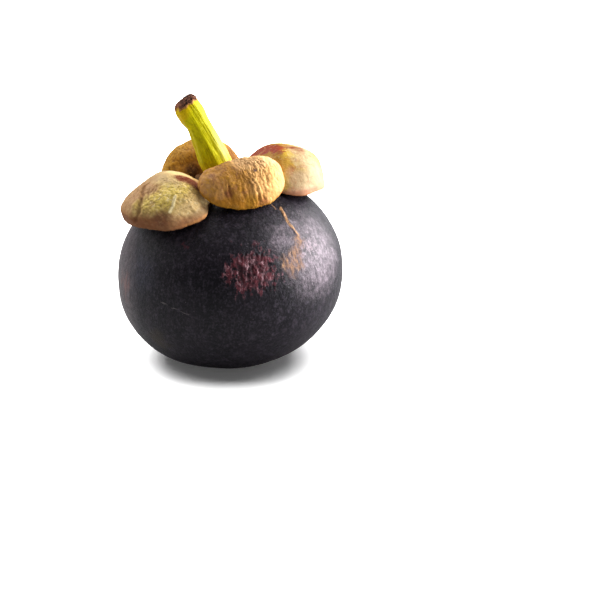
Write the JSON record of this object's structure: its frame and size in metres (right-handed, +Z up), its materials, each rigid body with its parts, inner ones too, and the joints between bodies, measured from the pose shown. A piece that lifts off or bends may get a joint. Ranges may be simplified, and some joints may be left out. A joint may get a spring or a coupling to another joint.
{
  "type": "mangosteen",
  "caption": "Whole mangosteen: round leathery rind with a cupped calyx, a short bent stem on top and a flat woody rosette it rests on.",
  "frame": {"origin": "middle of the flat underside of the rosette that the fruit rests on", "axes": "+Z up from the resting face towards the stem, X across the fruit with the stem bending towards -X, -Y the side seen first"},
  "size_m": [0.062, 0.062, 0.0753],
  "materials": {
    "rind": "dark purple-black fruit rind, satin, finely speckled",
    "sepals": "thick leathery sepals, tan to yellow-green, wrinkled, matt",
    "stem": "yellow-green ridged stem with a dry brown cut end",
    "rosette": "dry brown woody scar, matt"
  },
  "bodies": {
    "root": {"rind": "rind", "sepal_front": "sepals", "sepal_left": "sepals", "sepal_right": "sepals", "sepal_back": "sepals", "stem": "stem", "stigma_rosette": "rosette"}
  },
  "joints": []
}
